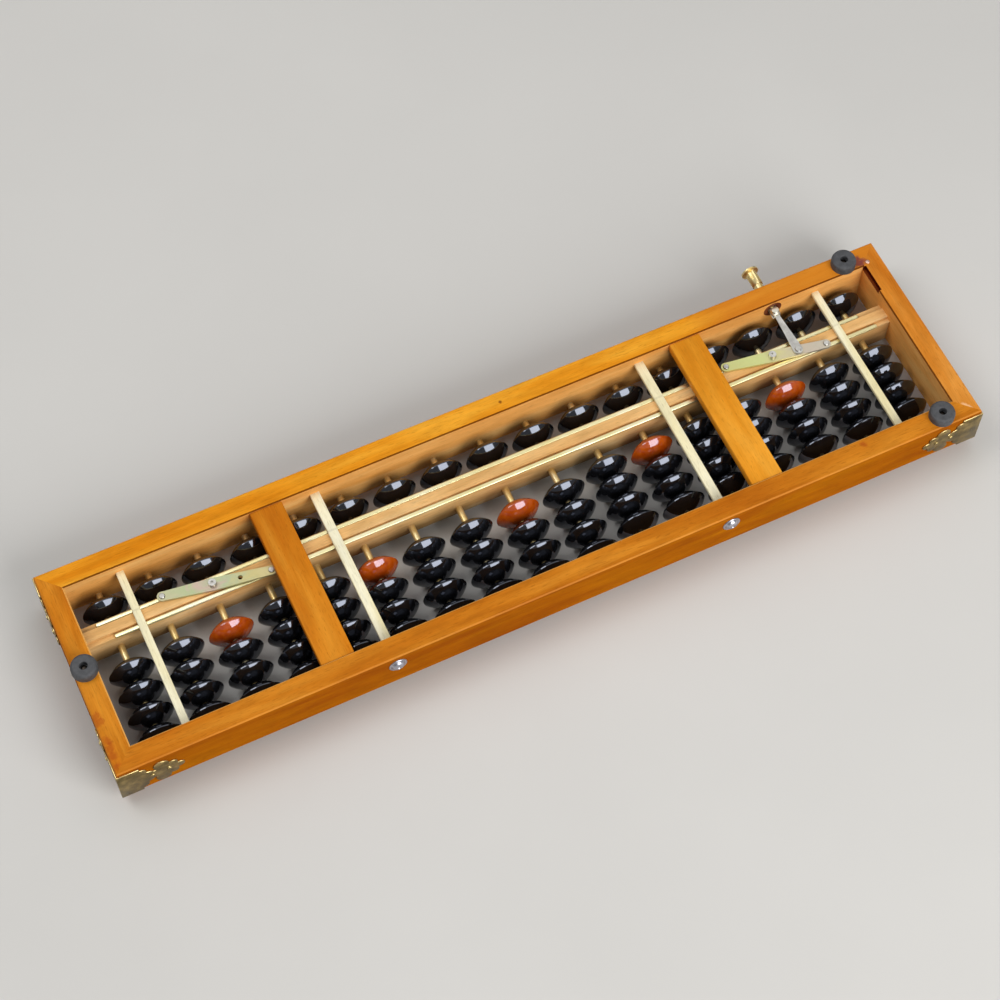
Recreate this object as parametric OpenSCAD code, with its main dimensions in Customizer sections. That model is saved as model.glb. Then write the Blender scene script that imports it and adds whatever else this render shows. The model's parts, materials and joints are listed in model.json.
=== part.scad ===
// Desk abacus with a push-button clearing mechanism, lying on its beads with its feet up.
// Millimetres. +X runs along the rails, +Y points to the push button, +Z points up to the feet.

/* [Beads] */
// Bead diameter over the blunted rim
bead_d = 18.6; // [14:0.1:24]
// Bead thickness through its centre
bead_t = 9.4; // [7:0.1:12]
// Width of the blunt band round the rim
bead_rim = 0.4; // [0.2:0.1:0.8]
// Sideways gap between neighbouring beads
bead_gap = 1.9; // [1.4:0.1:4]
// Rod diameter
rod_d = 2.8; // [2:0.1:3.4]
// Radial play of a bead on its rod
bead_play = 0.35; // [0.3:0.05:0.5]
// Free travel of a bead above the beam
heaven_travel = 6.27; // [5:0.01:9]
// Free travel of the four beads below the beam
earth_travel = 10.86; // [9:0.01:14]

/* [Frame] */
// Width of the two long rails
rail_w = 9.2; // [7:0.1:13]
// Width of the two end pieces
end_w = 9; // [7:0.1:13]
// Distance from the outer rods to the end pieces
end_gap = 12; // [10.5:0.1:18]
// Height of the rods above the front face of the wood
rod_drop = 4.6; // [3:0.1:6]
// Chamfer on the long edges of the wood
edge = 0.5; // [0.2:0.1:1]
// Width of the beam between upper and lower beads
beam_w = 9; // [7.8:0.1:12]
// Thickness of the two crossbars on the back
cross_t = 4.35; // [3:0.05:7]
// Width of the two crossbars on the back
cross_w = 13.6; // [10:0.1:16]
// Width of the four bamboo stays
stay_w = 3.2; // [2:0.1:5]
// Thickness of the four bamboo stays
stay_t = 1.8; // [1.2:0.1:2.6]
// Diameter of the rubber feet
foot_d = 10.4; // [7:0.1:12]
// Height of the rubber feet
foot_h = 4; // [2.5:0.1:6]

/* [Clearing mechanism] */
// Width of the two clearing rails
strip_w = 2.4; // [2:0.1:2.6]
// Thickness of the two clearing rails
strip_t = 1; // [0.8:0.1:1.4]
// Distance from the ends of a clearing rail to the end pieces, before its sideways shift
strip_end = 8.5; // [7.5:0.1:16]
// Height by which the clearing rails overlap the bead rims
strip_bite = 0.9; // [0.6:0.1:1.2]
// Lever arm from its pivot to the upper clearing rail
arm_up = 19.9; // [17:0.1:23]
// Lever arm from its pivot to the lower clearing rail
arm_down = 23.3; // [20:0.1:25]
// Lever arm from its pivot to the push link
arm_link = 11; // [8:0.1:13]
// Tilt of the levers when released
tilt = 9.7; // [8:0.1:11]
// Thickness of the levers
lever_t = 1; // [0.8:0.1:1.4]
// Length of the push link between its two eyes
link_l = 19.9; // [17:0.1:20]
// Diameter of the push button shaft
button_d = 3.9; // [3:0.1:4.4]
// Length of the button shaft standing out of the frame
button_out = 9.4; // [7:0.1:14]
// Room left for a bead between the pressed upper rail and the frame
bead_room = 3.2; // [1:0.1:3.6]

/* [Hidden] */
$fn = 96;
columns = 17;
run = 0.05;
gap = 0.2;
open_play = 0.4;
through = 2;

// Bead lens
lens_h = bead_t / 2;
lens_w = bead_rim / 2;
lens_c = (pow(bead_d / 2, 2) + pow(lens_w, 2) - pow(lens_h, 2)) / (2 * (lens_h - lens_w));
lens_r = lens_c + lens_h;
bore_r = rod_d / 2 + bead_play;
seat_h = sqrt(pow(lens_r, 2) - pow(bore_r, 2)) - lens_c;
bite_h = sqrt(pow(lens_r, 2) - pow(bead_d / 2 - strip_bite, 2)) - lens_c;
pitch = bead_d + bead_gap;

// Plan of the frame about the centre of its opening
earth_room = 8 * seat_h + earth_travel;
heaven_room = 2 * seat_h + heaven_travel;
inner_w = earth_room + beam_w + heaven_room;
inner_l = (columns - 1) * pitch + 2 * end_gap;
frame_w = inner_w + 2 * rail_w;
frame_l = inner_l + 2 * end_w;
beam_y0 = earth_room - inner_w / 2;
beam_y1 = beam_y0 + beam_w;
pivot_y = beam_y0 + beam_w / 2;
pivot_x = 6 * pitch;
stay_cols = [-7.5, -3.5, 3.5, 7.5];
cross_x = 4.5 * pitch;
tie_x = 3.5 * pitch;
rod_seat = 5;
beam_seat = 3;
stay_seat = 2;
inlay_w = beam_w * 0.6;
inlay_t = 0.8;
crack_w = 1.2;
crack_l = 13;
crack_d = 2.2;

// Stack of heights above the surface the beads lie on
rod_z = bead_d / 2;
front_z = rod_z - rod_drop;
strip_z0 = bead_d - strip_bite;
strip_z1 = strip_z0 + strip_t;
ridge_z = strip_z1 + 0.1;
ledge_z = strip_z0 - gap;
lever_z0 = max(strip_z1, bead_d) + 0.25;
lever_z1 = lever_z0 + lever_t;
link_t = 0.8;
link_z0 = lever_z1 + 0.1;
button_z = link_z0 + link_t / 2;
stay_z0 = strip_z1 + gap;
head_h = 0.45;
cross_z0 = max(lever_z1 + 0.1 + head_h + 0.15, stay_z0);
cross_z1 = cross_z0 + cross_t;
back_z = cross_z1 + 0.5;
frame_h = back_z - front_z;
tie_up = 14.5;
tie_z = front_z + tie_up;

// Clearing mechanism, released and pressed
up_y = pivot_y + arm_up * sin(tilt);
down_y = pivot_y - arm_down * sin(tilt);
pressed_up_y = inner_w / 2 - seat_h - gap - bead_room - bite_h - gap;
rise = pressed_up_y - up_y - strip_w / 2;
swing = asin(sin(tilt) + rise / arm_up) - tilt;
drop = arm_down * rise / arm_up;
pressed_down_y = down_y - strip_w / 2 - drop;
link_x = pivot_x + arm_link * cos(tilt);
link_y = pivot_y - arm_link * sin(tilt);
eye_y = link_y + link_l;
strip_l = inner_l - 2 * strip_end;
strip_shift = 2.5;
pin_r = 0.7;
pin_head_r = 1.6;
link_pin_r = 0.9;
link_head_r = 1.6;
link_hub_r = 2.1;
link_tip_r = 0.9;
pivot_r = 1.2;
pivot_head_r = 1.75;
pivot_head_h = 1.6;
pivot_eye_r = 0.65;
pivot_seat = 5;
lever_hub_r = 2.8;
lever_tip_r = 2;
ridge_y0 = down_y + strip_w / 2 + gap;
ridge_y1 = up_y - strip_w / 2 - gap;

// Push button, its spring and the pocket in the top rail
button_r = button_d / 2;
pocket_r = 4.1;
pocket_y = inner_w / 2 + rail_w - 1.6;
collar_r = pocket_r - 0.7;
collar_t = 0.8;
collar_y = pocket_y - 0.05 - collar_t;
retain_t = 0.6;
fork_h = 2 * (link_t / 2 + 1.05);
cross_pin_r = 0.6;
eye_r = 1.7;
fork_lip = 1.9;
pin_cap_r = 1.8;
pin_cap_h = 0.8;
head_t = 1.9;
head_r = 3.1;
head_round = 0.5;
button_end = inner_w / 2 + rail_w + button_out + head_t;
wire_d = 0.4;
turns = 3;
coil_r = (collar_r - 0.2 + button_r + 0.2) / 2 + 0.25;
coil_y0 = inner_w / 2 + retain_t + 0.05;
coil_l = collar_y - 0.05 - coil_y0;
coil_step = (coil_l - wire_d) / turns;
echo(str("button spring gap between turns ", coil_step - wire_d));

// Trim
plate_t = 0.6;
plate_l = 8.4;
plate_low = 0.3;
plate_h = frame_h * 0.9;
leaf_z = front_z + frame_h * 0.466;
leaf_stem = [[10.5, 4.2], [13, 2.9], [16.8, 3.6], [20.5, 3.2], [23.8, 1.9]];
leaf_lobes = [[8.6, 5.2, 2.4], [16.8, 4.9, 3.1], [21.2, 3, 2]];
nail_at = [12.8, 19.5];
nail_r = 0.9;
nail_h = 0.4;
tie_r = 3.2;
tie_h = 1.7;
tie_shank_r = 1.2;
tie_shank_l = 7;
foot_hole_r = 1.6;
foot_inset = 7.2;
foot_x = frame_l / 2 - end_w - foot_inset;

// Shift in Y that puts the origin under the middle of the bounding box
y0 = (frame_w / 2 + tie_h - button_end) / 2;

// Where the beads lie when the clearing rails are released, as shares of their free room
heaven_at = [
    0.04, 0.02, 0.03, 0.05, 0.02, 0.06, 0.04, 0.02, 0.05, 0.03,
    0.06, 0.12, 0.2, 0.9, 0.94, 0.96, 0.92
];
earth_at = [
    0.51, 0.5, 0.54, 0.52, 0.54, 0.51, 0.5, 0.54, 0.53, 0.48,
    0.04, 0.02, 0.05, 0.02, 0.03, 0.02, 0.03
];
earth_gaps = [
    [0.15, 0.14, 0.1],
    [0.14, 0.15, 0.12],
    [0.04, 0.03, 0.06],
    [0.02, 0.05, 0.03]
];
heaven_low = pressed_up_y + bite_h + gap;
heaven_high = inner_w / 2 - seat_h - gap;
earth_high = pressed_down_y - bite_h - gap;
earth_free = earth_high - 7 * seat_h + inner_w / 2 - gap;

function two(i) = i < 10 ? str("0", i) : str(i);
function marked(i) = i % 3 == 0;
function col_x(i) = (i - (columns + 1) / 2) * pitch;
function heaven_y(i) = heaven_low + heaven_at[i - 1] * (heaven_high - heaven_low);
function gap_set(i) = earth_gaps[(i > 10 ? 2 : 0) + i % 2];
function gap_sum(i, k) = k < 2 ? 0 : gap_sum(i, k - 1) + gap_set(i)[k - 2];
function earth_y(i, k) = earth_high - 2 * seat_h * (k - 1) - earth_free * (earth_at[i - 1] + gap_sum(i, k));

// One lens bead on a rod along Y
module lens() {
    rotate([90, 0, 0])
        difference() {
            intersection() {
                translate([0, 0, lens_c]) sphere(r = lens_r);
                translate([0, 0, -lens_c]) sphere(r = lens_r);
                cylinder(r = bead_d / 2, h = bead_t, center = true);
            }
            cylinder(r = bore_r, h = bead_t + 2, center = true);
        }
}

module bead_at(i, y) {
    translate([col_x(i), y0 + y, rod_z]) lens();
}

module heaven_bead(i) {
    color([0.03, 0.03, 0.035]) bead_at(i, heaven_y(i));
}

module earth_beads(i) {
    color([0.03, 0.03, 0.035])
        for (k = [marked(i) ? 2 : 1 : 4]) bead_at(i, earth_y(i, k));
}

module marker_bead(i) {
    color([0.7, 0.25, 0.06]) bead_at(i, earth_y(i, 1));
}

// Wooden stick along X with chamfered long edges, its lower inner edge on the X axis
module stick(l, w, h) {
    rotate([90, 0, 90])
        linear_extrude(height = l, center = true)
            polygon([
                [edge, 0], [w - edge, 0], [w, edge], [w, h - edge],
                [w - edge, h], [edge, h], [0, h - edge], [0, edge]
            ]);
}

// Corner mitre line: share 0 is the inner corner and share 1 the outer corner
function mitre_x(s) = inner_l / 2 + s * end_w;
function mitre_y(s) = inner_w / 2 + s * rail_w;

module rail_blank() {
    intersection() {
        translate([0, inner_w / 2, front_z]) stick(frame_l + 2 * end_w, rail_w, frame_h);
        translate([0, 0, front_z - through / 2])
            linear_extrude(height = frame_h + through)
                polygon([
                    [-mitre_x(1.5), mitre_y(1.5)], [mitre_x(1.5), mitre_y(1.5)],
                    [mitre_x(-0.5), mitre_y(-0.5)], [-mitre_x(-0.5), mitre_y(-0.5)]
                ]);
    }
}

module end_blank() {
    intersection() {
        translate([inner_l / 2, 0, front_z]) rotate([0, 0, -90]) stick(frame_w + 2 * rail_w, end_w, frame_h);
        translate([0, 0, front_z - through / 2])
            linear_extrude(height = frame_h + through)
                polygon([
                    [mitre_x(1.5), mitre_y(1.5)], [mitre_x(1.5), -mitre_y(1.5)],
                    [mitre_x(-0.5), -mitre_y(-0.5)], [mitre_x(-0.5), mitre_y(-0.5)]
                ]);
    }
}

module rods() {
    for (i = [1:columns])
        translate([col_x(i), 0, rod_z])
            rotate([90, 0, 0]) cylinder(d = rod_d, h = inner_w + 2 * rod_seat, center = true);
}

module stays() {
    for (s = stay_cols)
        translate([s * pitch - stay_w / 2, -inner_w / 2 - stay_seat, stay_z0])
            cube([stay_w, inner_w + 2 * stay_seat, stay_t]);
}

module beam_blank() {
    beam_l = inner_l + 2 * beam_seat;
    translate([-beam_l / 2, beam_y0, front_z]) cube([beam_l, beam_w, ledge_z - front_z]);
    translate([-beam_l / 2, ridge_y0, front_z + inlay_t])
        cube([beam_l, ridge_y1 - ridge_y0, ridge_z - front_z - inlay_t]);
}

module inlay() {
    translate([-inner_l / 2, pivot_y - inlay_w / 2, front_z]) cube([inner_l, inlay_w, inlay_t]);
}

// Pan-head screw with a cross recess, its head standing on the origin
module pan_screw(r, h, shank_r, shank_l) {
    dome_r = 1.35 * r;
    slot_l = 1.24 * r;
    slot_w = 0.22 * r;
    difference() {
        union() {
            intersection() {
                cylinder(r = r, h = h);
                translate([0, 0, h - dome_r]) sphere(r = dome_r);
            }
            translate([0, 0, -shank_l]) cylinder(r = shank_r, h = shank_l + h / 4);
        }
        translate([-slot_l / 2, -slot_w / 2, h / 2]) cube([slot_l, slot_w, h]);
        translate([-slot_w / 2, -slot_l / 2, h / 2]) cube([slot_w, slot_l, h]);
    }
}

module ties() {
    for (s = [-1, 1])
        translate([s * tie_x, -frame_w / 2, tie_z])
            rotate([90, 0, 0]) pan_screw(tie_r, tie_h, tie_shank_r, tie_shank_l);
}

// Hollow-headed stud that a lever turns on, its head standing on the origin
module stud(shank_l) {
    difference() {
        union() {
            cylinder(r1 = pivot_head_r, r2 = pivot_head_r * 0.88, h = pivot_head_h);
            translate([0, 0, -shank_l]) cylinder(r = pivot_r, h = shank_l + pivot_head_h / 4);
        }
        translate([0, 0, pivot_head_h / 2]) cylinder(r = pivot_eye_r, h = pivot_head_h);
    }
}

module pivots() {
    for (s = [-1, 1])
        translate([s * pivot_x, pivot_y, lever_z1 + 0.1]) stud(lever_z1 + 0.1 - ridge_z + pivot_seat);
}

module top_rail() {
    color([0.8, 0.48, 0.12])
        translate([0, y0, 0])
            difference() {
                rail_blank();
                rods();
                stays();
                translate([link_x, inner_w / 2 - through / 2, button_z])
                    rotate([-90, 0, 0]) cylinder(r = button_r + run, h = rail_w + through);
                translate([link_x, inner_w / 2 - through, button_z])
                    rotate([-90, 0, 0]) cylinder(r = pocket_r, h = pocket_y - inner_w / 2 + through);
            }
}

module bottom_rail() {
    color([0.8, 0.48, 0.12])
        translate([0, y0, 0])
            difference() {
                mirror([0, 1, 0]) rail_blank();
                rods();
                stays();
                ties();
            }
}

module left_end() {
    color([0.8, 0.48, 0.12])
        translate([0, y0, 0])
            difference() {
                mirror([1, 0, 0]) end_blank();
                beam_blank();
            }
}

module right_end() {
    color([0.8, 0.48, 0.12])
        translate([0, y0, 0])
            difference() {
                end_blank();
                beam_blank();
                translate([inner_l / 2 - through, inner_w / 2 - crack_l - gap, back_z - crack_d])
                    cube([crack_w + through, crack_l, crack_d + through]);
            }
}

module beam() {
    color([0.88, 0.68, 0.44])
        translate([0, y0, 0])
            difference() {
                beam_blank();
                rods();
                inlay();
                pivots();
            }
}

module beam_inlay() {
    color([0.93, 0.9, 0.8]) translate([0, y0, 0]) inlay();
}

module back_crossbars() {
    color([0.68, 0.38, 0.12])
        for (s = [-1, 1])
            translate([s * cross_x - cross_w / 2, y0 - inner_w / 2, cross_z0])
                cube([cross_w, inner_w, cross_t]);
}

module bamboo_stays() {
    color([0.93, 0.88, 0.7]) translate([0, y0, 0]) stays();
}

module bead_rods() {
    color([0.8, 0.66, 0.35]) translate([0, y0, 0]) rods();
}

// One arm of a corner bracket on the +Y face, measured from the corner towards -X
module bracket_arm(l) {
    translate([l, 0, 0]) {
        translate([-plate_l, 0, front_z + plate_low]) cube([plate_l + plate_t, plate_t, plate_h]);
        for (p = leaf_stem)
            translate([-p[0], 0, leaf_z]) rotate([-90, 0, 0]) cylinder(r = p[1], h = plate_t);
        for (p = leaf_lobes)
            for (s = [-1, 1])
                translate([-p[0], 0, leaf_z + s * p[1]])
                    rotate([-90, 0, 0]) cylinder(r = p[2], h = plate_t);
        for (x = nail_at)
            translate([-x, 0, leaf_z])
                rotate([-90, 0, 0]) cylinder(r = nail_r, h = plate_t + nail_h);
    }
}

module bracket() {
    translate([0, frame_w / 2, 0]) bracket_arm(frame_l / 2);
    translate([frame_l / 2, 0, 0]) rotate([0, 0, -90]) mirror([1, 0, 0]) bracket_arm(frame_w / 2);
}

module corner_brackets() {
    color([0.5, 0.42, 0.2])
        translate([0, y0, 0])
            for (sx = [0, 1])
                for (sy = [0, 1])
                    mirror([sx, 0, 0]) mirror([0, sy, 0]) bracket();
}

module foot() {
    rotate_extrude()
        polygon([
            [0, 0], [foot_d / 2, 0], [foot_d / 2, foot_h * 0.7], [foot_d / 2 - 0.3, foot_h * 0.9],
            [foot_d / 2 - 1, foot_h], [foot_hole_r + 0.2, foot_h], [foot_hole_r, foot_h - 0.2],
            [foot_hole_r, foot_h * 0.4], [0, foot_h * 0.4]
        ]);
}

module rubber_feet() {
    color([0.3, 0.3, 0.33])
        translate([0, y0, back_z]) {
            translate([-frame_l / 2 + end_w / 2, 0, 0]) foot();
            translate([foot_x, frame_w / 2 - rail_w / 2 - 0.2, 0]) foot();
            translate([foot_x, -frame_w / 2 + rail_w / 2 + 0.2, 0]) foot();
        }
}

module tie_screws() {
    color([0.85, 0.85, 0.86]) translate([0, y0, 0]) ties();
}

module pivot_studs() {
    color([0.8, 0.7, 0.4]) translate([0, y0, 0]) pivots();
}

// Flat bar along +X with rounded ends, its first centre on the origin
module bar(r1, r2, l, t) {
    cylinder(r = r1, h = t);
    translate([l, 0, 0]) cylinder(r = r2, h = t);
    linear_extrude(height = t)
        polygon([[0, 0.97 * r1], [l, 0.97 * r2], [l, -0.97 * r2], [0, -0.97 * r1]]);
}

module lever(x) {
    color([0.78, 0.76, 0.55])
        translate([x, y0 + pivot_y, lever_z0])
            rotate([0, 0, -tilt])
                difference() {
                    union() {
                        bar(lever_hub_r, lever_tip_r, arm_down, lever_t);
                        mirror([1, 0, 0]) bar(lever_hub_r, lever_tip_r, arm_up, lever_t);
                    }
                    translate([0, 0, -through / 2]) cylinder(r = pivot_r + run, h = lever_t + through);
                    translate([-arm_up, 0, -through / 2]) cylinder(r = pin_r + run, h = lever_t + through);
                    translate([arm_down, 0, -through / 2]) cylinder(r = pin_r + run, h = lever_t + through);
                    translate([arm_link, 0, -through / 2])
                        cylinder(r = link_pin_r + run, h = lever_t + through);
                }
}

module left_lever() {
    lever(-pivot_x);
}

module right_lever() {
    lever(pivot_x);
}

// Clearing rail with the two rivets that hold it under the levers
module clearing_rail(y, x_mid, x_pin) {
    color([0.9, 0.85, 0.6])
        translate([0, y0 + y, 0]) {
            translate([x_mid - strip_l / 2, -strip_w / 2, strip_z0]) cube([strip_l, strip_w, strip_t]);
            for (s = [-1, 1])
                translate([s * pivot_x + x_pin, 0, 0]) {
                    translate([0, 0, strip_z0 + strip_t / 2])
                        cylinder(r = pin_r, h = lever_z1 + 0.1 + head_h / 2 - strip_z0 - strip_t / 2);
                    translate([0, 0, lever_z1 + 0.1])
                        cylinder(r1 = pin_head_r, r2 = pin_head_r * 0.7, h = head_h);
                }
        }
}

module upper_clearing_rail() {
    clearing_rail(up_y, -strip_shift, -arm_up * cos(tilt));
}

module lower_clearing_rail() {
    clearing_rail(down_y, strip_shift, arm_down * cos(tilt));
}

module push_link() {
    color([0.66, 0.65, 0.62])
        translate([link_x, y0 + link_y, 0]) {
            difference() {
                translate([0, 0, link_z0]) {
                    rotate([0, 0, 90]) bar(link_hub_r, link_tip_r, link_l, link_t);
                    translate([0, link_l, 0]) cylinder(r = eye_r, h = link_t);
                }
                translate([0, link_l, link_z0 - through / 2])
                    cylinder(r = cross_pin_r + open_play, h = link_t + through);
            }
            translate([0, 0, lever_z0 + 0.05]) cylinder(r = link_pin_r, h = link_z0 + link_t / 2 - lever_z0);
            translate([0, 0, link_z0 + link_t / 2])
                cylinder(r1 = link_head_r, r2 = link_head_r * 0.7, h = link_t / 2 + head_h);
        }
}

// Push button: shaft, head, spring collar and a forked inner end with its cross pin
module clear_button() {
    fork_end = eye_y - fork_lip;
    fork_root = eye_y + eye_r + 2 * open_play;
    fork_l = fork_root - fork_end;
    fork_w = 2 * button_r + through;
    color([0.85, 0.72, 0.4])
        translate([link_x, y0, button_z]) {
            translate([0, fork_root, 0])
                rotate([-90, 0, 0]) cylinder(r = button_r, h = button_end - head_t / 2 - fork_root);
            translate([0, collar_y, 0]) rotate([-90, 0, 0]) cylinder(r = collar_r, h = collar_t);
            translate([0, button_end - head_t, 0])
                rotate([-90, 0, 0])
                    rotate_extrude()
                        polygon([
                            [0, 0], [head_r - head_round / 2, 0], [head_r, head_round / 2],
                            [head_r, head_t - head_round], [head_r - head_round, head_t], [0, head_t]
                        ]);
            difference() {
                intersection() {
                    translate([0, fork_end, 0]) rotate([-90, 0, 0]) cylinder(r = button_r, h = fork_l + 0.5);
                    translate([-fork_w / 2, fork_end - through, -fork_h / 2])
                        cube([fork_w, fork_l + 2 * through, fork_h]);
                }
                translate([-fork_w / 2, fork_end - through, -link_t / 2 - gap])
                    cube([fork_w, fork_l + through - open_play, link_t + 2 * gap]);
            }
            translate([0, eye_y, -fork_h / 2 + 0.2]) cylinder(r = cross_pin_r, h = fork_h - 0.4);
            translate([0, eye_y, fork_h / 2 - 0.1])
                cylinder(r1 = pin_cap_r, r2 = pin_cap_r * 0.85, h = pin_cap_h + 0.1);
        }
}

// Return spring: one unbroken helix of round wire about the button shaft
module button_spring() {
    sides = 8;
    steps = 28 * turns;
    points = [
        for (i = [0:steps], j = [0:sides - 1])
            let (a = 360 * turns * i / steps, b = 360 * j / sides, r = coil_r + wire_d / 2 * cos(b))
                [r * cos(a), wire_d / 2 * (1 + sin(b)) + coil_step * turns * i / steps, r * sin(a)]
    ];
    walls = [
        for (i = [0:steps - 1], j = [0:sides - 1])
            let (k = (j + 1) % sides)
                [i * sides + j, i * sides + k, (i + 1) * sides + k, (i + 1) * sides + j]
    ];
    caps = [
        [for (j = [sides - 1:-1:0]) j],
        [for (j = [0:sides - 1]) steps * sides + j]
    ];
    color([0.7, 0.7, 0.72])
        translate([link_x, y0 + coil_y0, button_z]) polyhedron(points, concat(walls, caps), convexity = 6);
}

module spring_retainer() {
    color([0.8, 0.7, 0.4])
        translate([link_x, y0 + inner_w / 2, button_z])
            rotate([-90, 0, 0])
                difference() {
                    cylinder(r = pocket_r, h = retain_t);
                    translate([0, 0, -through / 2])
                        cylinder(r = button_r + open_play, h = retain_t + through);
                }
}

top_rail();
bottom_rail();
left_end();
right_end();
beam();
beam_inlay();
back_crossbars();
bamboo_stays();
bead_rods();
corner_brackets();
rubber_feet();
tie_screws();
pivot_studs();
left_lever();
right_lever();
upper_clearing_rail();
lower_clearing_rail();
push_link();
clear_button();
button_spring();
spring_retainer();
for (i = [1:columns]) {
    heaven_bead(i);
    earth_beads(i);
    marker_bead(i);
}
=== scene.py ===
"""Looks of a wooden desk abacus with a clearing button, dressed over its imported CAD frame."""

import json
import math

import bmesh
import bpy
from mathutils import Matrix, Vector

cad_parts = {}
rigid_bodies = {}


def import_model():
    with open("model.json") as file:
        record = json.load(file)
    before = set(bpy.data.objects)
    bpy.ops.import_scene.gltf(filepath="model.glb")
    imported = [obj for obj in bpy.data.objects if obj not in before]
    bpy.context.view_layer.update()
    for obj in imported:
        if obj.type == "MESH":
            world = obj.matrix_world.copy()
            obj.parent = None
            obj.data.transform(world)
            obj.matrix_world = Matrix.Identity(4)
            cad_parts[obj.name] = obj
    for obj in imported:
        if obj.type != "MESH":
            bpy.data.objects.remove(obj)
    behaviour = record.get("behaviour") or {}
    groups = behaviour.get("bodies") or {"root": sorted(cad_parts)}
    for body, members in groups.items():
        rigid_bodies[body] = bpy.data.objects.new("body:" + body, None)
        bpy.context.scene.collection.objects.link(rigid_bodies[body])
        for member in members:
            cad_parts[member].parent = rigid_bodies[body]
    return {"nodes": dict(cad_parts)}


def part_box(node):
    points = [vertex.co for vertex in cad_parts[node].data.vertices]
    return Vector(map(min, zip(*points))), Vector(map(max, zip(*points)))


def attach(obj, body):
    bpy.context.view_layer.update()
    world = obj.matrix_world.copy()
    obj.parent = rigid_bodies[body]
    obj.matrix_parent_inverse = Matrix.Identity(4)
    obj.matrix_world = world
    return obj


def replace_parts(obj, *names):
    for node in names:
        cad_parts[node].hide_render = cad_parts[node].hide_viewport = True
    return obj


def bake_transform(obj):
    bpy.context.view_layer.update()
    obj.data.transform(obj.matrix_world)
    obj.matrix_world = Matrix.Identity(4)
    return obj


for left_over in list(bpy.data.objects):
    bpy.data.objects.remove(left_over)
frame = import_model()
nodes = frame["nodes"]
bpy.context.view_layer.update()


# Frame: four lengths of close-grained hardwood, mitred and glued at the corners. The outside has
# amber lacquer over grain that runs along each length; the inner walls were barely coated and are tan.
MM = 0.001


def srgb(r, g, b):
    """A colour given as 0 to 255 screen values, as the linear colour that a shader takes."""
    return tuple(((c / 255 + 0.055) / 1.055) ** 2.4 if c > 10 else c / 3294.6 for c in (r, g, b)) + (1.0,)


def new_finish(name):
    """An empty material, its node tree and its shader."""
    finish = bpy.data.materials.new(name)
    finish.use_nodes = True
    return finish, finish.node_tree, finish.node_tree.nodes["Principled BSDF"]


def put(tree, kind, settings=(), **inputs):
    """Adds a node, with sockets set to values or joined to other sockets."""
    made = tree.nodes.new("ShaderNode" + kind)
    for key, value in dict(settings).items():
        setattr(made, key, value)
    for key, value in inputs.items():
        join(tree, made.inputs[key.replace("_", " ")], value)
    return made


def join(tree, socket, value):
    if isinstance(value, bpy.types.NodeSocket):
        tree.links.new(value, socket)
    else:
        socket.default_value = value


def place_on(tree):
    return put(tree, "TexCoord").outputs["Object"]


def spread(tree, scale):
    """Object coordinates, stretched by scale along each axis."""
    return put(tree, "Mapping", Vector=place_on(tree), Scale=scale).outputs["Vector"]


def speckle(tree, where, detail=4.0, rough=0.55, twist=0.0):
    made = put(tree, "TexNoise", Vector=where, Scale=1.0, Detail=detail, Roughness=rough, Distortion=twist)
    return made.outputs["Fac"]


def ramp(tree, value, stops):
    """A colour or grey that runs through the stops, each a place and a colour."""
    made = put(tree, "ValToRGB", Fac=value)
    band = made.color_ramp
    while len(band.elements) < len(stops):
        band.elements.new(0.5)
    for element, (place, colour) in zip(band.elements, stops):
        element.position = place
        element.color = colour if isinstance(colour, tuple) else (colour, colour, colour, 1.0)
    return made.outputs["Color"]


def blend(tree, share, first, second, how="MIX"):
    made = put(tree, "Mix", {"data_type": "RGBA", "blend_type": how})
    join(tree, made.inputs[0], share)
    join(tree, made.inputs[6], first)
    join(tree, made.inputs[7], second)
    return made.outputs[2]


def sums(tree, how, first, second=0.0):
    made = put(tree, "Math", {"operation": how})
    join(tree, made.inputs[0], first)
    join(tree, made.inputs[1], second)
    return made.outputs[0]


def relief(tree, shader, height, strength, depth):
    made = put(tree, "Bump", Strength=strength, Distance=depth, Height=height)
    tree.links.new(made.outputs["Normal"], shader.inputs["Normal"])


def vector_value(tree, how, first, second):
    made = put(tree, "VectorMath", {"operation": how})
    join(tree, made.inputs[0], first)
    join(tree, made.inputs[1], second)
    return made.outputs["Value"]


def facing(tree, direction):
    """How far a face looks in a direction, from -1 to 1."""
    return vector_value(tree, "DOT_PRODUCT", put(tree, "NewGeometry").outputs["Normal"], direction)


def height_on(tree):
    return put(tree, "SeparateXYZ", Vector=place_on(tree)).outputs["Z"]


def along(axis, long_scale, cross_scale):
    return tuple(long_scale if i == axis else cross_scale for i in range(3))


def wood_tone(tree, axis, tones, contrast=0.5):
    """Colour of planed wood with figure, mottling, fibres and pores, and the height of its fibres."""
    dark, middle, light = tones
    broad = speckle(tree, spread(tree, along(axis, 14, 120)), detail=5, twist=0.4)
    mottle = speckle(tree, spread(tree, along(axis, 80, 230)), detail=3, twist=0.3)
    fibre = speckle(tree, spread(tree, along(axis, 70, 1700)), detail=6, rough=0.65)
    pores = speckle(tree, spread(tree, along(axis, 280, 2600)), detail=2)
    colour = ramp(tree, broad, [(0.34, dark), (0.5, middle), (0.66, light)])
    colour = blend(tree, contrast, colour, ramp(tree, mottle, [(0.36, 0.72), (0.6, 1.0)]), "MULTIPLY")
    colour = blend(tree, contrast, colour, ramp(tree, fibre, [(0.32, 0.72), (0.6, 1.0)]), "MULTIPLY")
    fleck = tuple(0.6 * c for c in dark[:3]) + (1.0,)
    return blend(tree, ramp(tree, pores, [(0.59, 0.0), (0.68, 0.42)]), colour, fleck), fibre


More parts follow.
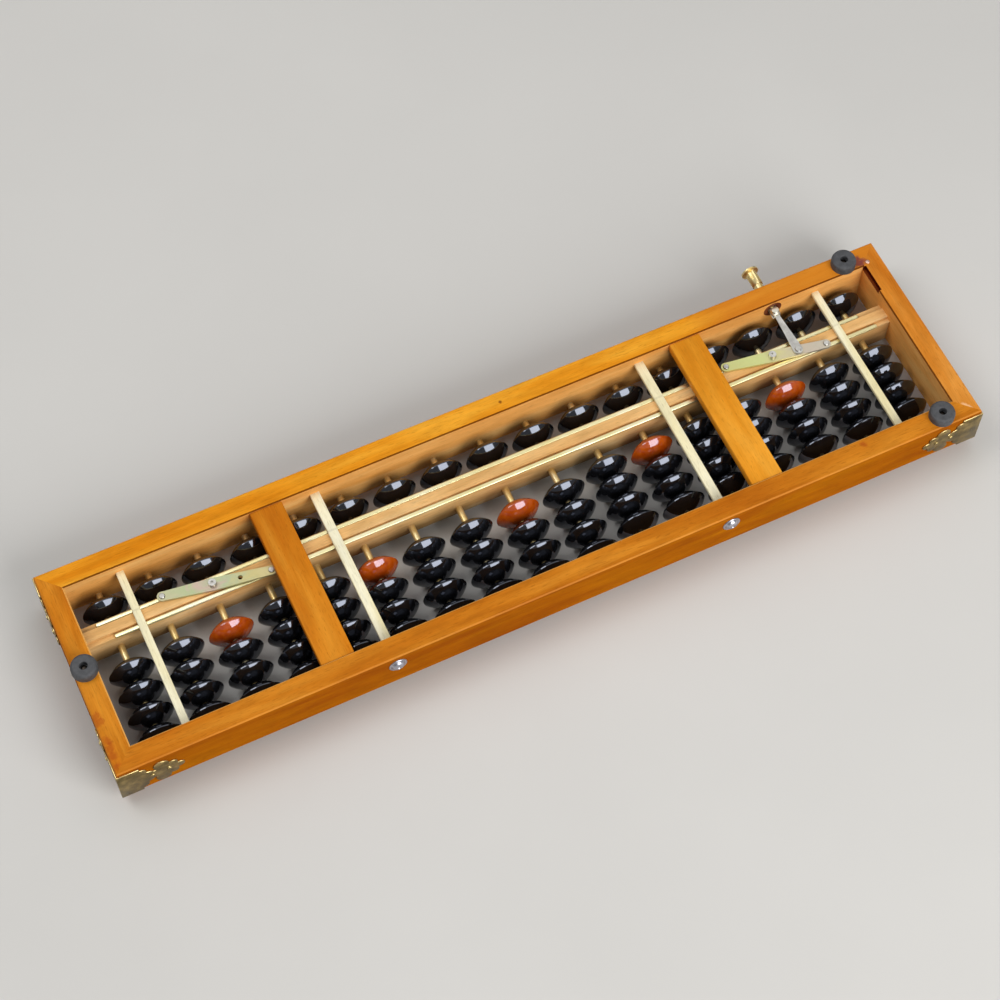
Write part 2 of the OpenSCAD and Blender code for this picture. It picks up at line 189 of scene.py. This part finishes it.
def stain(tree, colour, spot, reach, tone, strength):
    """Lays a soft-edged stain of a tone round a spot, given in millimetres."""
    distance = vector_value(tree, "DISTANCE", place_on(tree), tuple(c * MM for c in spot))
    uneven = min(reach, 8.0) * MM
    ragged = sums(tree, "MULTIPLY", speckle(tree, spread(tree, (450, 450, 450)), detail=5), uneven)
    share = sums(tree, "DIVIDE", sums(tree, "ADD", distance, ragged), reach * MM)
    return blend(tree, ramp(tree, share, [(0.7, strength), (1.35, 0.0)]), colour, tone)


# Each length has its own tone, as wood does; the top rail is also painted lighter and the bottom rail
# darker, as painted light and shade.
amber = (srgb(194, 106, 13), srgb(208, 124, 24), srgb(222, 143, 40))
lit_amber = (srgb(222, 134, 16), srgb(236, 153, 31), srgb(247, 173, 50))
shaded_amber = (srgb(186, 101, 13), srgb(203, 120, 24), srgb(218, 138, 38))
red_amber = (srgb(202, 115, 26), srgb(217, 134, 43), srgb(231, 153, 63))
bare_tan = (srgb(236, 162, 80), srgb(248, 178, 96), srgb(254, 196, 118))
wood_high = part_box("top_rail")[1]
# Edge tones: a painted shade line on the inner edges of the top rail and right end, painted highlight
# elsewhere.
edge_shade, edge_highlight = srgb(84, 34, 4), srgb(232, 172, 90)
square_on, slanted = 0.9, 0.5
highlight_share, edge_share = 0.12, 0.85
wood_shine = 0.05


def between(tree, value, low, high):
    """One where a value lies between two limits, nought elsewhere."""
    above = sums(tree, "GREATER_THAN", value, low)
    below = sums(tree, "LESS_THAN", value, high)
    return sums(tree, "MULTIPLY", above, below)


def frame_wood(name, axis, inward, tones, side, edge_tone, wall_tones, stains=(), split=None):
    """Lacquered wood with a barer inner wall; outer sides get painted shade, edges painted highlight and
    shade.
    """
    finish, tree, shader = new_finish(name)
    outside, fibre = wood_tone(tree, axis, tones, contrast=0.4)
    for spot, reach, tone, strength in stains:
        outside = stain(tree, outside, spot, reach, tone, strength)
    inside, _ = wood_tone(tree, axis, wall_tones, contrast=0.3)
    look = facing(tree, inward)
    outer = sums(tree, "LESS_THAN", look, -square_on)
    # Painted shade: the outer sides are multiplied darker by side.
    outside = blend(tree, outer, outside, blend(tree, 1.0, outside, side, "MULTIPLY"))
    # Painted highlight: the outer chamfers are lightened.
    highlit_chamfer = sums(tree, "MULTIPLY", between(tree, look, -square_on, -slanted), highlight_share)
    outside = blend(tree, highlit_chamfer, outside, edge_highlight)
    colour = blend(tree, sums(tree, "GREATER_THAN", look, square_on), outside, inside)
    # A painted line along the inner edge, painted shade or painted highlight as edge_tone gives.
    edge = between(tree, look, slanted, square_on)
    colour = blend(tree, sums(tree, "MULTIPLY", edge, edge_share), colour, edge_tone)
    if split:
        colour = blend(tree, in_box(tree, *split), colour, split_wood_and_shade(tree))
    tree.links.new(colour, shader.inputs["Base Color"])
    gloss = ramp(tree, fibre, [(0.3, 0.46), (0.7, 0.34)])
    dull = sums(tree, "MAXIMUM", edge, outer)
    tree.links.new(blend(tree, dull, gloss, (0.9, 0.9, 0.9, 1.0)), shader.inputs["Roughness"])
    shader.inputs["Specular IOR Level"].default_value = wood_shine
    relief(tree, shader, fibre, strength=0.2, depth=0.00008)
    return finish


def in_box(tree, low, high):
    """One inside a box given by two corners in millimetres, nought outside it."""
    place = put(tree, "SeparateXYZ", Vector=place_on(tree))
    inside = 1.0
    for axis, name in enumerate("XYZ"):
        span = between(tree, place.outputs[name], low[axis] * MM, high[axis] * MM)
        inside = sums(tree, "MULTIPLY", inside, span)
    return inside


def split_wood_and_shade(tree):
    """Torn wood in a split: reddish brown on its floor, nearly black painted shade on its side."""
    floor = sums(tree, "GREATER_THAN", facing(tree, (0, 0, 1)), 0.5)
    return blend(tree, floor, srgb(70, 12, 2), srgb(112, 46, 14))


def dress(finish, *names):
    for name in names:
        nodes[name].data.materials.clear()
        nodes[name].data.materials.append(finish)


plum, rust, worn = srgb(128, 62, 62), srgb(164, 66, 18), srgb(248, 202, 152)
knot = srgb(96, 36, 8)
# Painted shade: the inner walls of the bottom rail and left end are a darker tan than the other walls.
painted_shade_tan = (srgb(114, 76, 42), srgb(130, 90, 50), srgb(146, 106, 64))
top_z = wood_high.z / MM
corner_stains = [((175.1, 33.9, top_z), 6.0, plum, 0.85), ((177.3, 33.5, top_z), 4.5, plum, 0.75)]
red_drift = ((160.0, 36.0, top_z), 70.0, srgb(204, 118, 34), 0.7)
top_stains = [red_drift] + corner_stains + [((11.4, 35.4, top_z), 1.8, knot, 0.8)]
bottom_stains = [((134.2, -43.2, top_z), 4.0, rust, 0.6)]
left_rust = (-24.5, -27.2, -35.4, -38.4, -42.2, -46.4)
left_stains = [((-183.3, y, top_z), 4.6, rust, 0.5) for y in left_rust]
worn_places = ((180.4, -45.6), (179.7, -44.2), (181.0, -47.6))
worn_specks = [((x, y, top_z), 3.0, worn, 0.65) for x, y in worn_places]
split = ((175.9, 17.8, 23.25), (177.25, 31.0, 26.0))
# The two multipliers below darken the outer sides of the lengths as painted shade.
painted_shade_side, painted_shade_front = (0.58, 0.47, 0.25, 1.0), (0.64, 0.55, 0.02, 1.0)
dress(frame_wood("top_rail_wood", axis=0, inward=(0, -1, 0), tones=lit_amber, side=painted_shade_side,
                 edge_tone=edge_shade, wall_tones=bare_tan, stains=top_stains), "top_rail")
dress(frame_wood("bottom_rail_wood", axis=0, inward=(0, 1, 0), tones=shaded_amber, side=painted_shade_front,
                 edge_tone=edge_highlight, wall_tones=painted_shade_tan, stains=bottom_stains), "bottom_rail")
dress(frame_wood("left_end_wood", axis=1, inward=(1, 0, 0), tones=amber, side=painted_shade_side,
                 edge_tone=edge_highlight, wall_tones=painted_shade_tan, stains=left_stains), "left_end")
dress(frame_wood("right_end_wood", axis=1, inward=(-1, 0, 0), tones=red_amber, side=painted_shade_side,
                 edge_tone=edge_shade, wall_tones=bare_tan, stains=corner_stains + worn_specks,
                 split=split), "right_end")


# Beam: a paler hardwood bar let into the two ends, drilled for every rod and rebated along both
# edges of its back for the clearing rails. Its front has an ivory strip with pressed-in unit dots.
def plain_wood(name, axis, tones, rough, contrast=0.5, shaded=(0, 0, -1), ring=None, grime_and_shade=None,
               stains=()):
    """Wood of one finish, darker on the side that looks the shaded way; ring is a node of bamboo.

    Given a pair of heights, the wood gets painted shade, darkest at the first height and gone at the
    second."""
    finish, tree, shader = new_finish(name)
    colour, fibre = wood_tone(tree, axis, tones, contrast)
    shade_tone = (0.34, 0.3, 0.27, 1.0)
    dim = sums(tree, "GREATER_THAN", facing(tree, shaded), square_on)
    colour = blend(tree, dim, colour, blend(tree, 1.0, colour, shade_tone, "MULTIPLY"))
    for spot, reach, tone, strength in stains:
        colour = stain(tree, colour, spot, reach, tone, strength)
    # Painted shade: darker towards the bottom, between the two heights.
    if grime_and_shade:
        level = sums(tree, "SUBTRACT", height_on(tree), grime_and_shade[0])
        level = sums(tree, "DIVIDE", level, grime_and_shade[1] - grime_and_shade[0])
        colour = blend(tree, 1.0, colour, ramp(tree, level, [(0.0, 0.4), (1.0, 1.0)]), "MULTIPLY")
    if ring:
        ring_reach = 1.2 * MM
        away = put(tree, "SeparateXYZ", Vector=place_on(tree)).outputs["Y"]
        away = sums(tree, "ABSOLUTE", sums(tree, "SUBTRACT", away, ring * MM))
        mark = ramp(tree, sums(tree, "DIVIDE", away, ring_reach), [(0.1, 0.86), (0.6, 1.0)])
        colour = blend(tree, 1.0, colour, mark, "MULTIPLY")
    tree.links.new(colour, shader.inputs["Base Color"])
    gloss = ramp(tree, fibre, [(0.3, rough + 0.1), (0.7, rough - 0.05)])
    tree.links.new(gloss, shader.inputs["Roughness"])
    shader.inputs["Specular IOR Level"].default_value = wood_shine
    relief(tree, shader, fibre, strength=0.2, depth=0.00008)
    return finish


beam_tones = (srgb(224, 170, 102), srgb(241, 192, 126), srgb(248, 210, 152))
beam_low, beam_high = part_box("beam")
# Painted shade along the bottom of the beam's sides.
beam_shade_heights = (beam_low.z, 0.35 * beam_low.z + 0.65 * beam_high.z)
# Painted shade: a near-black spot on the beam's top under the hole in the left lever.
hole_shade = [((-112.16, 9.35, beam_high.z / MM), 2.0, srgb(30, 16, 8), 0.95)]
dress(plain_wood("beam_wood", axis=0, tones=beam_tones, rough=0.4, shaded=(0, 1, 0), grime_and_shade=beam_shade_heights,
                 stains=hole_shade), "beam")


def polished(name, first, second, rough, scale=300.0):
    """A dense polished material with faint clouding."""
    finish, tree, shader = new_finish(name)
    cloud = speckle(tree, spread(tree, (scale,) * 3), detail=5)
    tree.links.new(ramp(tree, cloud, [(0.35, first), (0.65, second)]), shader.inputs["Base Color"])
    tree.links.new(ramp(tree, cloud, [(0.3, rough), (0.7, rough + 0.08)]), shader.inputs["Roughness"])
    return finish


dress(polished("ivory_strip", srgb(236, 228, 204), srgb(246, 241, 224), rough=0.25), "beam_inlay")


def keep(name, bm, finish, body, crease=35):
    """Makes a bmesh a smooth-shaded piece of the scene that rides on a body."""
    mesh = bpy.data.meshes.new(name)
    bm.to_mesh(mesh)
    bm.free()
    for face in mesh.polygons:
        face.use_smooth = True
    mesh.set_sharp_from_angle(angle=math.radians(crease))
    mesh.materials.append(finish)
    piece = bpy.data.objects.new(name, mesh)
    bpy.context.scene.collection.objects.link(piece)
    if body:
        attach(piece, body)
    return piece


def add_dome(bm, place, way, radius, height):
    """A low domed nail head, its flat side on the surface at place."""
    made = bmesh.ops.create_uvsphere(bm, u_segments=28, v_segments=14, radius=radius)["verts"]
    bmesh.ops.delete(bm, geom=[v for v in made if v.co.z < -radius * 0.05], context="VERTS")
    turn = Vector(way).to_track_quat("Z", "Y").to_matrix().to_4x4()
    flatten = Matrix.Diagonal((1, 1, height / radius, 1))
    dome = [v for v in made if v.is_valid]
    bmesh.ops.transform(bm, matrix=Matrix.Translation(place) @ turn @ flatten, verts=dome)


ink = polished("unit_dot_black", srgb(24, 22, 22), srgb(40, 36, 34), rough=0.35)
inlay_low, inlay_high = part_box("beam_inlay")
unit_dots = bmesh.new()
for column in (3, 6, 9, 12, 15):
    bead_low, bead_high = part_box(f"heaven_bead_{column:02d}")
    spot = ((bead_low.x + bead_high.x) / 2, (inlay_low.y + inlay_high.y) / 2, inlay_low.z)
    add_dome(unit_dots, spot, (0, 0, -1), radius=1.0 * MM, height=0.15 * MM)
keep("unit_dots", unit_dots, ink, "frame")


# Rods: drawn brass rod, driven into blind holes in the rails and passed through the beam. Drawing
# leaves fine lines along the rod, and the brass has dulled a little.
def metal(name, tones, rough, line_scale, cloud_scale=220.0, strength=0.08, streak=0.35, patches=(),
          bare=1.0):
    """Bare metal with tool lines and slow changes of tone, and patches of another tone in boxes."""
    dark, middle, light = tones
    finish, tree, shader = new_finish(name)
    lines = speckle(tree, spread(tree, line_scale))
    cloud = speckle(tree, spread(tree, (cloud_scale,) * 3))
    colour = ramp(tree, cloud, [(0.32, dark), (0.5, middle), (0.68, light)])
    colour = blend(tree, streak, colour, ramp(tree, lines, [(0.3, 0.7), (0.65, 1.0)]), "MULTIPLY")
    for tone, low, high in patches:
        colour = blend(tree, in_box(tree, low, high), colour, tone)
    tree.links.new(colour, shader.inputs["Base Color"])
    tree.links.new(ramp(tree, lines, [(0.3, rough + 0.12), (0.7, rough)]), shader.inputs["Roughness"])
    shader.inputs["Metallic"].default_value = bare
    relief(tree, shader, lines, strength, depth=0.00005)
    return finish


rod_tones = (srgb(228, 198, 128), srgb(246, 222, 158), srgb(253, 240, 200))
dress(metal("drawn_brass", rod_tones, rough=0.3, line_scale=(2200, 60, 2200), bare=0.7), "bead_rods")


# Beads: turned lens-shaped beads with a drilled bore, polished black. The bead next to the beam is
# red-brown in every third column, to mark the units.
def glossy_bead(name, first, second):
    finish, tree, shader = new_finish(name)
    cloud = speckle(tree, spread(tree, (420, 420, 420)), detail=5)
    scuffs = speckle(tree, spread(tree, (300, 2400, 300)), detail=3)
    tree.links.new(ramp(tree, cloud, [(0.35, first), (0.65, second)]), shader.inputs["Base Color"])
    tree.links.new(ramp(tree, scuffs, [(0.4, 0.05), (0.75, 0.12)]), shader.inputs["Roughness"])
    shader.inputs["IOR"].default_value = 1.95
    shader.inputs["Specular Tint"].default_value = (0.78, 0.84, 1.0, 1.0)
    return finish


dress(glossy_bead("black_bead", srgb(12, 12, 14), srgb(22, 22, 24)),
      *(n for n in nodes if n.startswith(("heaven_bead_", "earth_beads_"))))
dress(glossy_bead("marker_bead", srgb(172, 65, 4), srgb(192, 85, 12)),
      *(n for n in nodes if n.startswith("marker_bead_")))


# Clearing mechanism: two stamped levers, yellow zinc plated, turn on studs in the beam. Their ends
# are riveted to two drawn brass rails, and a bare steel link joins the right lever to the button.
def zinc_plate(name, lever, stops):
    """Yellow chromate plating, whose film changes from straw to pink and green along a lever."""
    finish, tree, shader = new_finish(name)
    film = speckle(tree, spread(tree, (110, 160, 90)), detail=3, twist=1.2)
    wear = speckle(tree, spread(tree, (900, 900, 900)), detail=5)
    low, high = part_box(lever)
    share = put(tree, "SeparateXYZ", Vector=place_on(tree)).outputs["X"]
    share = sums(tree, "DIVIDE", sums(tree, "SUBTRACT", share, low.x), high.x - low.x)
    uneven = sums(tree, "MULTIPLY", sums(tree, "SUBTRACT", film, 0.5), 0.5)
    share = sums(tree, "ADD", share, uneven)
    tree.links.new(ramp(tree, share, stops), shader.inputs["Base Color"])
    tree.links.new(ramp(tree, wear, [(0.3, 0.34), (0.7, 0.46)]), shader.inputs["Roughness"])
    shader.inputs["Metallic"].default_value = 0.7
    relief(tree, shader, wear, strength=0.05, depth=0.00004)
    return finish


left_film = [(0.0, srgb(194, 190, 154)), (0.25, srgb(182, 192, 148)), (0.4, srgb(202, 180, 164)),
             (0.55, srgb(184, 192, 154)), (0.8, srgb(206, 194, 136)), (1.0, srgb(214, 202, 148))]
right_film = [(0.0, srgb(208, 206, 138)), (0.3, srgb(214, 220, 148)), (0.55, srgb(220, 212, 156)),
              (0.75, srgb(210, 196, 176)), (1.0, srgb(206, 198, 178))]
dress(zinc_plate("left_zinc", "left_lever", left_film), "left_lever")
dress(zinc_plate("right_zinc", "right_lever", right_film), "right_lever")
steel_tones = (srgb(184, 182, 176), srgb(210, 208, 202), srgb(230, 228, 222))
bare_steel = metal("bare_steel", steel_tones, rough=0.32, line_scale=(1800, 60, 1800))
dress(bare_steel, "push_link", "pivot_studs")


def merged(node):
    """A copy of a CAD node's mesh, its split corners joined."""
    bm = bmesh.new()
    bm.from_mesh(nodes[node].data)
    bmesh.ops.remove_doubles(bm, verts=bm.verts, dist=1e-6)
    return bm


def softened(node, width, finish, segments=3, body="frame", reshape=None):
    """A merged copy of a CAD node with its outward edges rounded, shown in its place."""
    bm = merged(node)
    bmesh.ops.dissolve_limit(bm, angle_limit=math.radians(1), verts=bm.verts, edges=bm.edges)
    if reshape:
        reshape(bm)
    pairs = [edge for edge in bm.edges if len(edge.link_faces) == 2]
    sharp = [edge for edge in pairs if edge.calc_face_angle_signed(0) > math.radians(50)]
    bmesh.ops.bevel(bm, geom=sharp, offset=width, segments=segments, profile=0.5,
                    affect="EDGES", material=-1)
    bmesh.ops.recalc_face_normals(bm, faces=bm.faces)
    piece = keep(node + "_soft", bm, finish, body)
    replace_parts(piece, node)
    return piece


rail_tones = (srgb(236, 222, 160), srgb(245, 235, 182), srgb(252, 244, 206))
rail_brass = metal("pale_brass", rail_tones, rough=0.24, line_scale=(40, 2400, 2400), cloud_scale=60.0,
                   strength=0.03, streak=0.12)
rivet_z = 19.8 * MM


def slim_strip(bm):
    """The real rails are narrower than the CAD ones, so the strip is made anew under its rivets."""
    strip_share, head_scale = 0.75, (0.88, 0.88, 1.0)
    hair = 0.01 * MM
    ends = min(v.co.x for v in bm.verts), max(v.co.x for v in bm.verts)
    corners = [v for v in bm.verts if min(abs(v.co.x - end) for end in ends) < hair]
    low = Vector(min(v.co[i] for v in corners) for i in range(3))
    high = Vector(max(v.co[i] for v in corners) for i in range(3))
    bmesh.ops.delete(bm, geom=corners, context="VERTS")
    left_flat = [f for f in bm.faces if all(abs(v.co.z - high.z) < hair for v in f.verts)]
    bmesh.ops.delete(bm, geom=left_flat, context="FACES")
    for v in bm.verts:
        v.co.z = v.co.z if v.co.z > high.z + hair else (low.z + high.z) / 2
    bmesh.ops.holes_fill(bm, edges=[edge for edge in bm.edges if edge.is_boundary])
    for side in (-1, 1):
        head = [v for v in bm.verts if v.co.z > rivet_z and v.co.x * side > 0]
        middle = sum((v.co for v in head), Vector()) / len(head)
        bmesh.ops.scale(bm, vec=head_scale, verts=head, space=Matrix.Translation(-middle))
    size = high - low
    size.y *= strip_share
    strip = bmesh.ops.create_cube(bm, size=1.0)["verts"]
    bmesh.ops.scale(bm, vec=size, verts=strip)
    bmesh.ops.translate(bm, vec=low + size / 2, verts=strip)


for rail in ("upper_clearing_rail", "lower_clearing_rail"):
    strip = softened(rail, 0.4 * MM, rail_brass, segments=4, body=rail, reshape=slim_strip)
    strip.data.materials.append(bare_steel)
    for face in strip.data.polygons:
        face.material_index = int(face.center.z > rivet_z)


# Push button: turned brass, with a flanged head outside the top rail. A spring in a pocket of the
# rail returns it, held by a washer at the mouth of the pocket.
def thick_grip(bm):
    """The real head is wider and thinner than the CAD one, on a thicker grip that stays off the rail."""
    low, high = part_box("clear_button")
    middle = (low + high) / 2
    wider, thinner = 1.2, 0.62
    travel, head_thick = 3.3 * MM, 1.95 * MM
    play, step = 0.1 * MM, 0.2 * MM
    grip_start = wood_high.y + travel + play
    for cut in (grip_start, grip_start + step):
        everything = bm.verts[:] + bm.edges[:] + bm.faces[:]
        bmesh.ops.bisect_plane(bm, geom=everything, plane_co=(0, cut, 0), plane_no=(0, 1, 0))
    for v in [v for v in bm.verts if v.co.y > grip_start + 0.75 * step]:
        v.co.x = middle.x + (v.co.x - middle.x) * wider
        v.co.z = middle.z + (v.co.z - middle.z) * wider
        if v.co.y > high.y - head_thick:
            v.co.y = high.y + (v.co.y - high.y) * thinner


button_tones = (srgb(232, 202, 128), srgb(246, 222, 156), srgb(252, 236, 184))
nickel_end = (srgb(228, 224, 208), (120.0, 20.0, 10.0), (150.0, 31.6, 30.0))
turned_brass = metal("turned_brass", button_tones, rough=0.34, line_scale=(160, 2600, 160), streak=0.25,
                     patches=[nickel_end])
softened("clear_button", 0.15 * MM, turned_brass, segments=2, body="clear_button", reshape=thick_grip)
coil_low, coil_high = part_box("button_spring")
return_spring = keep("return_spring", merged("button_spring"), bare_steel, None)
axis_x, axis_z = (coil_low.x + coil_high.x) / 2, (coil_low.z + coil_high.z) / 2
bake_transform(return_spring)
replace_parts(return_spring, "button_spring")
dress(polished("fibre_washer", srgb(96, 40, 14), srgb(124, 62, 24), rough=0.55), "spring_retainer")


# Back braces: two lacquered crossbars butted between the rails, and four split bamboo stays with
# their ends in small sockets. The sawn edges were eased with sandpaper.
right_bar_tones = (srgb(218, 134, 24), srgb(230, 149, 36), srgb(240, 164, 52))
left_bar_wood = plain_wood("left_bar_wood", axis=1, tones=amber, rough=0.4, contrast=0.3)
right_bar_wood = plain_wood("right_bar_wood", axis=1, tones=right_bar_tones, rough=0.4, contrast=0.3)
bars = softened("back_crossbars", 0.5 * MM, left_bar_wood)
bars.data.materials.append(right_bar_wood)
for face in bars.data.polygons:
    face.material_index = int(face.center.x > 0)
wide_stays = (-71.75 * MM, 71.75 * MM)


def widen_middle(bm):
    """The two stays in the middle are split wider than the outer ones."""
    reach, wider = 3.0 * MM, 1.25
    for v in bm.verts:
        for stay_x in wide_stays:
            if abs(v.co.x - stay_x) < reach:
                v.co.x = stay_x + (v.co.x - stay_x) * wider


cream = (srgb(245, 232, 180), srgb(251, 241, 200), srgb(254, 248, 218))
stay_wood = plain_wood("split_bamboo", axis=1, tones=cream, rough=0.5, contrast=0.4, ring=13.0)
softened("bamboo_stays", 0.35 * MM, stay_wood, reshape=widen_middle)


# Feet: moulded rubber buttons on the back, each held by a steel nail whose head sits down in its
# hole. One nail near the top right corner was driven flush and shines through the lacquer.
def rubber(name, first, second):
    finish, tree, shader = new_finish(name)
    grime_and_shade = speckle(tree, spread(tree, (500, 500, 500)), detail=6)
    tree.links.new(ramp(tree, grime_and_shade, [(0.35, first), (0.7, second)]), shader.inputs["Base Color"])
    tree.links.new(ramp(tree, grime_and_shade, [(0.3, 0.55), (0.7, 0.72)]), shader.inputs["Roughness"])
    relief(tree, shader, grime_and_shade, strength=0.2, depth=0.0001)
    return finish


dress(rubber("foot_rubber", srgb(62, 63, 66), srgb(82, 83, 86)), "rubber_feet")
nail_tones = (srgb(30, 26, 24), srgb(52, 46, 42), srgb(74, 68, 62))
nail_steel = metal("nail_steel", nail_tones, rough=0.3, line_scale=(500, 500, 500))
foot_nails = bmesh.new()
foot_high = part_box("rubber_feet")[1].z
hole_floor = wood_high.z + 0.4 * (foot_high - wood_high.z)
foot_places = ((-180.5, -4.8), (168.8, 35.52), (168.8, -45.12))
for foot_x, foot_y in foot_places:
    nail_spot = (foot_x * MM, foot_y * MM, hole_floor)
    add_dome(foot_nails, nail_spot, (0, 0, 1), radius=1.3 * MM, height=0.5 * MM)
keep("foot_nails", foot_nails, nail_steel, "frame")
shine_tones = (srgb(226, 190, 176), srgb(246, 212, 196), srgb(252, 228, 216))
rubbed_steel = metal("rubbed_nail", shine_tones, rough=0.42, line_scale=(500, 500, 500))
flush_nail = bmesh.new()
flush_spot = (178.8 * MM, 32.4 * MM, wood_high.z)
add_dome(flush_nail, flush_spot, (0, 0, 1), radius=0.9 * MM, height=0.35 * MM)
keep("flush_nail", flush_nail, rubbed_steel, "frame")


# Corner brackets: stamped sheet brass with leaf-shaped arms, nailed round the corners. The brass
# has aged to dark olive; its edges that face up or down are bright, partly worn and partly painted
# highlight.
def aged_brass(name):
    """Tarnished sheet, bright on its edges that face up or down, partly worn and partly painted highlight.
    """
    finish, tree, shader = new_finish(name)
    cloud = speckle(tree, spread(tree, (260, 260, 260)), detail=5)
    olive = [(0.34, srgb(104, 88, 46)), (0.5, srgb(132, 112, 66)), (0.68, srgb(170, 146, 92))]
    rim_wear_and_highlight = sums(tree, "ABSOLUTE", facing(tree, (0, 0, 1)))
    colour = blend(tree, ramp(tree, rim_wear_and_highlight, [(0.3, 0.0), (0.6, 1.0)]), ramp(tree, cloud, olive),
                   srgb(238, 214, 148))
    tree.links.new(colour, shader.inputs["Base Color"])
    tree.links.new(ramp(tree, cloud, [(0.3, 0.26), (0.7, 0.4)]), shader.inputs["Roughness"])
    shader.inputs["Metallic"].default_value = 0.9
    relief(tree, shader, cloud, strength=0.1, depth=0.0001)
    return finish


softened("corner_brackets", 0.22 * MM, aged_brass("aged_brass"), segments=2)


# Tie screws: chromed pan-head screws with a rolled flange, driven through the outer face of the bottom
# rail into the ends of the two middle stays.
def add_turned(bm, profile, place, way, steps=48):
    """A closed form turned from a profile, which is a list of radius and height pairs in millimetres."""
    corners = [bm.verts.new((radius * MM, 0, height * MM)) for radius, height in profile]
    outline = [bm.edges.new(pair) for pair in zip(corners, corners[1:])]
    before = set(bm.verts) - set(corners)
    bmesh.ops.spin(bm, geom=corners + outline, axis=(0, 0, 1), cent=(0, 0, 0), steps=steps,
                   angle=math.tau, use_merge=True)
    made = [v for v in bm.verts if v not in before]
    turn = Vector(way).to_track_quat("Z", "Y").to_matrix().to_4x4()
    bmesh.ops.transform(bm, matrix=Matrix.Translation(place) @ turn, verts=made)


screw_profile = [(0.0, 1.2), (0.7, 1.2), (0.95, 1.6), (1.5, 1.54), (2.05, 1.32), (2.45, 0.98), (2.68, 0.5),
                 (2.8, 0.3), (3.0, 0.46), (3.3, 0.56), (3.6, 0.46), (3.75, 0.18), (3.75, 0.0), (1.5, 0.0),
                 (1.5, -7.0), (0.0, -7.0)]
screw_low, screw_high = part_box("tie_screws")
outer_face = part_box("bottom_rail")[0].y
screws = bmesh.new()
for axis_x in wide_stays:
    spot = (axis_x, outer_face, (screw_low.z + screw_high.z) / 2)
    add_turned(screws, screw_profile, spot, (0, -1, 0))
bmesh.ops.remove_doubles(screws, verts=screws.verts, dist=1e-6)
bmesh.ops.recalc_face_normals(screws, faces=screws.faces)
chrome_tones = (srgb(160, 160, 170), srgb(182, 182, 192), srgb(204, 204, 212))
chrome = metal("chrome_plate", chrome_tones, rough=0.26, line_scale=(300, 300, 300), strength=0.05,
               streak=0.2)
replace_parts(keep("turned_screws", screws, chrome, "frame", crease=60), "tie_screws")


# Studio: a plain pale floor, a wide dim panel overhead, a soft lamp from the upper left, a soft box
# in front that shows in the beads, and the camera where the photograph was taken from.
floor_mesh = bmesh.new()
bmesh.ops.create_grid(floor_mesh, x_segments=2, y_segments=2, size=4.0)
floor_finish, floor_tree, floor_shader = new_finish("floor_paper")
floor_cloud = speckle(floor_tree, spread(floor_tree, (6, 6, 6)))
floor_tones = [(0.3, srgb(206, 204, 200)), (0.7, srgb(210, 208, 204))]
floor_tree.links.new(ramp(floor_tree, floor_cloud, floor_tones), floor_shader.inputs["Base Color"])
floor_shader.inputs["Roughness"].default_value = 0.85
keep("floor", floor_mesh, floor_finish, None)


def soft_lamp(name, place, size, watts):
    lamp = bpy.data.lights.new(name, "AREA")
    lamp.shape = "RECTANGLE"
    lamp.size, lamp.size_y = size
    lamp.energy = watts
    holder = bpy.data.objects.new(name, lamp)
    bpy.context.scene.collection.objects.link(holder)
    holder.location = place
    holder.rotation_euler = (-Vector(place)).to_track_quat("-Z", "Y").to_euler()


soft_lamp("overhead_panel", place=(0.28, 0.57, 1.17), size=(1.7, 1.3), watts=4.8)
soft_lamp("upper_left_lamp", place=(-0.62, 0.3, 1.05), size=(0.6, 0.6), watts=4.6)
soft_lamp("front_box", place=(0.36, -1.12, 0.66), size=(0.85, 1.05), watts=16.0)
world = bpy.data.worlds.new("studio")
bpy.context.scene.world = world
world.use_nodes = True
world.node_tree.nodes["Background"].inputs["Color"].default_value = (1.0, 1.0, 1.0, 1.0)
world.node_tree.nodes["Background"].inputs["Strength"].default_value = 0.25
bpy.context.scene.view_settings.view_transform = "Standard"

camera_data = bpy.data.cameras.new("camera")
camera = bpy.data.objects.new("camera", camera_data)
bpy.context.scene.collection.objects.link(camera)
bpy.context.scene.camera = camera
azimuth, elevation, roll = (math.radians(a) for a in (-25.93, 61.49, 0.82))
level_out = math.cos(elevation)
back = Vector((math.sin(azimuth) * level_out, -math.cos(azimuth) * level_out, math.sin(elevation)))
across = (-back).cross(Vector((0, 0, 1))).normalized()
upward = across.cross(-back)
turned_across = across * math.cos(roll) + upward * math.sin(roll)
turned_upward = upward * math.cos(roll) - across * math.sin(roll)
placing = Matrix((turned_across, turned_upward, back)).transposed().to_4x4()
aim = Vector((-2.81, 5.12, 4.7)) * MM
camera_away = 0.93439
placing.translation = aim + back * camera_away
camera.matrix_world = placing
camera_data.sensor_width = 36.0
camera_data.lens = 83.61
camera_data.clip_start, camera_data.clip_end = 0.05, 20.0

bpy.context.view_layer.update()
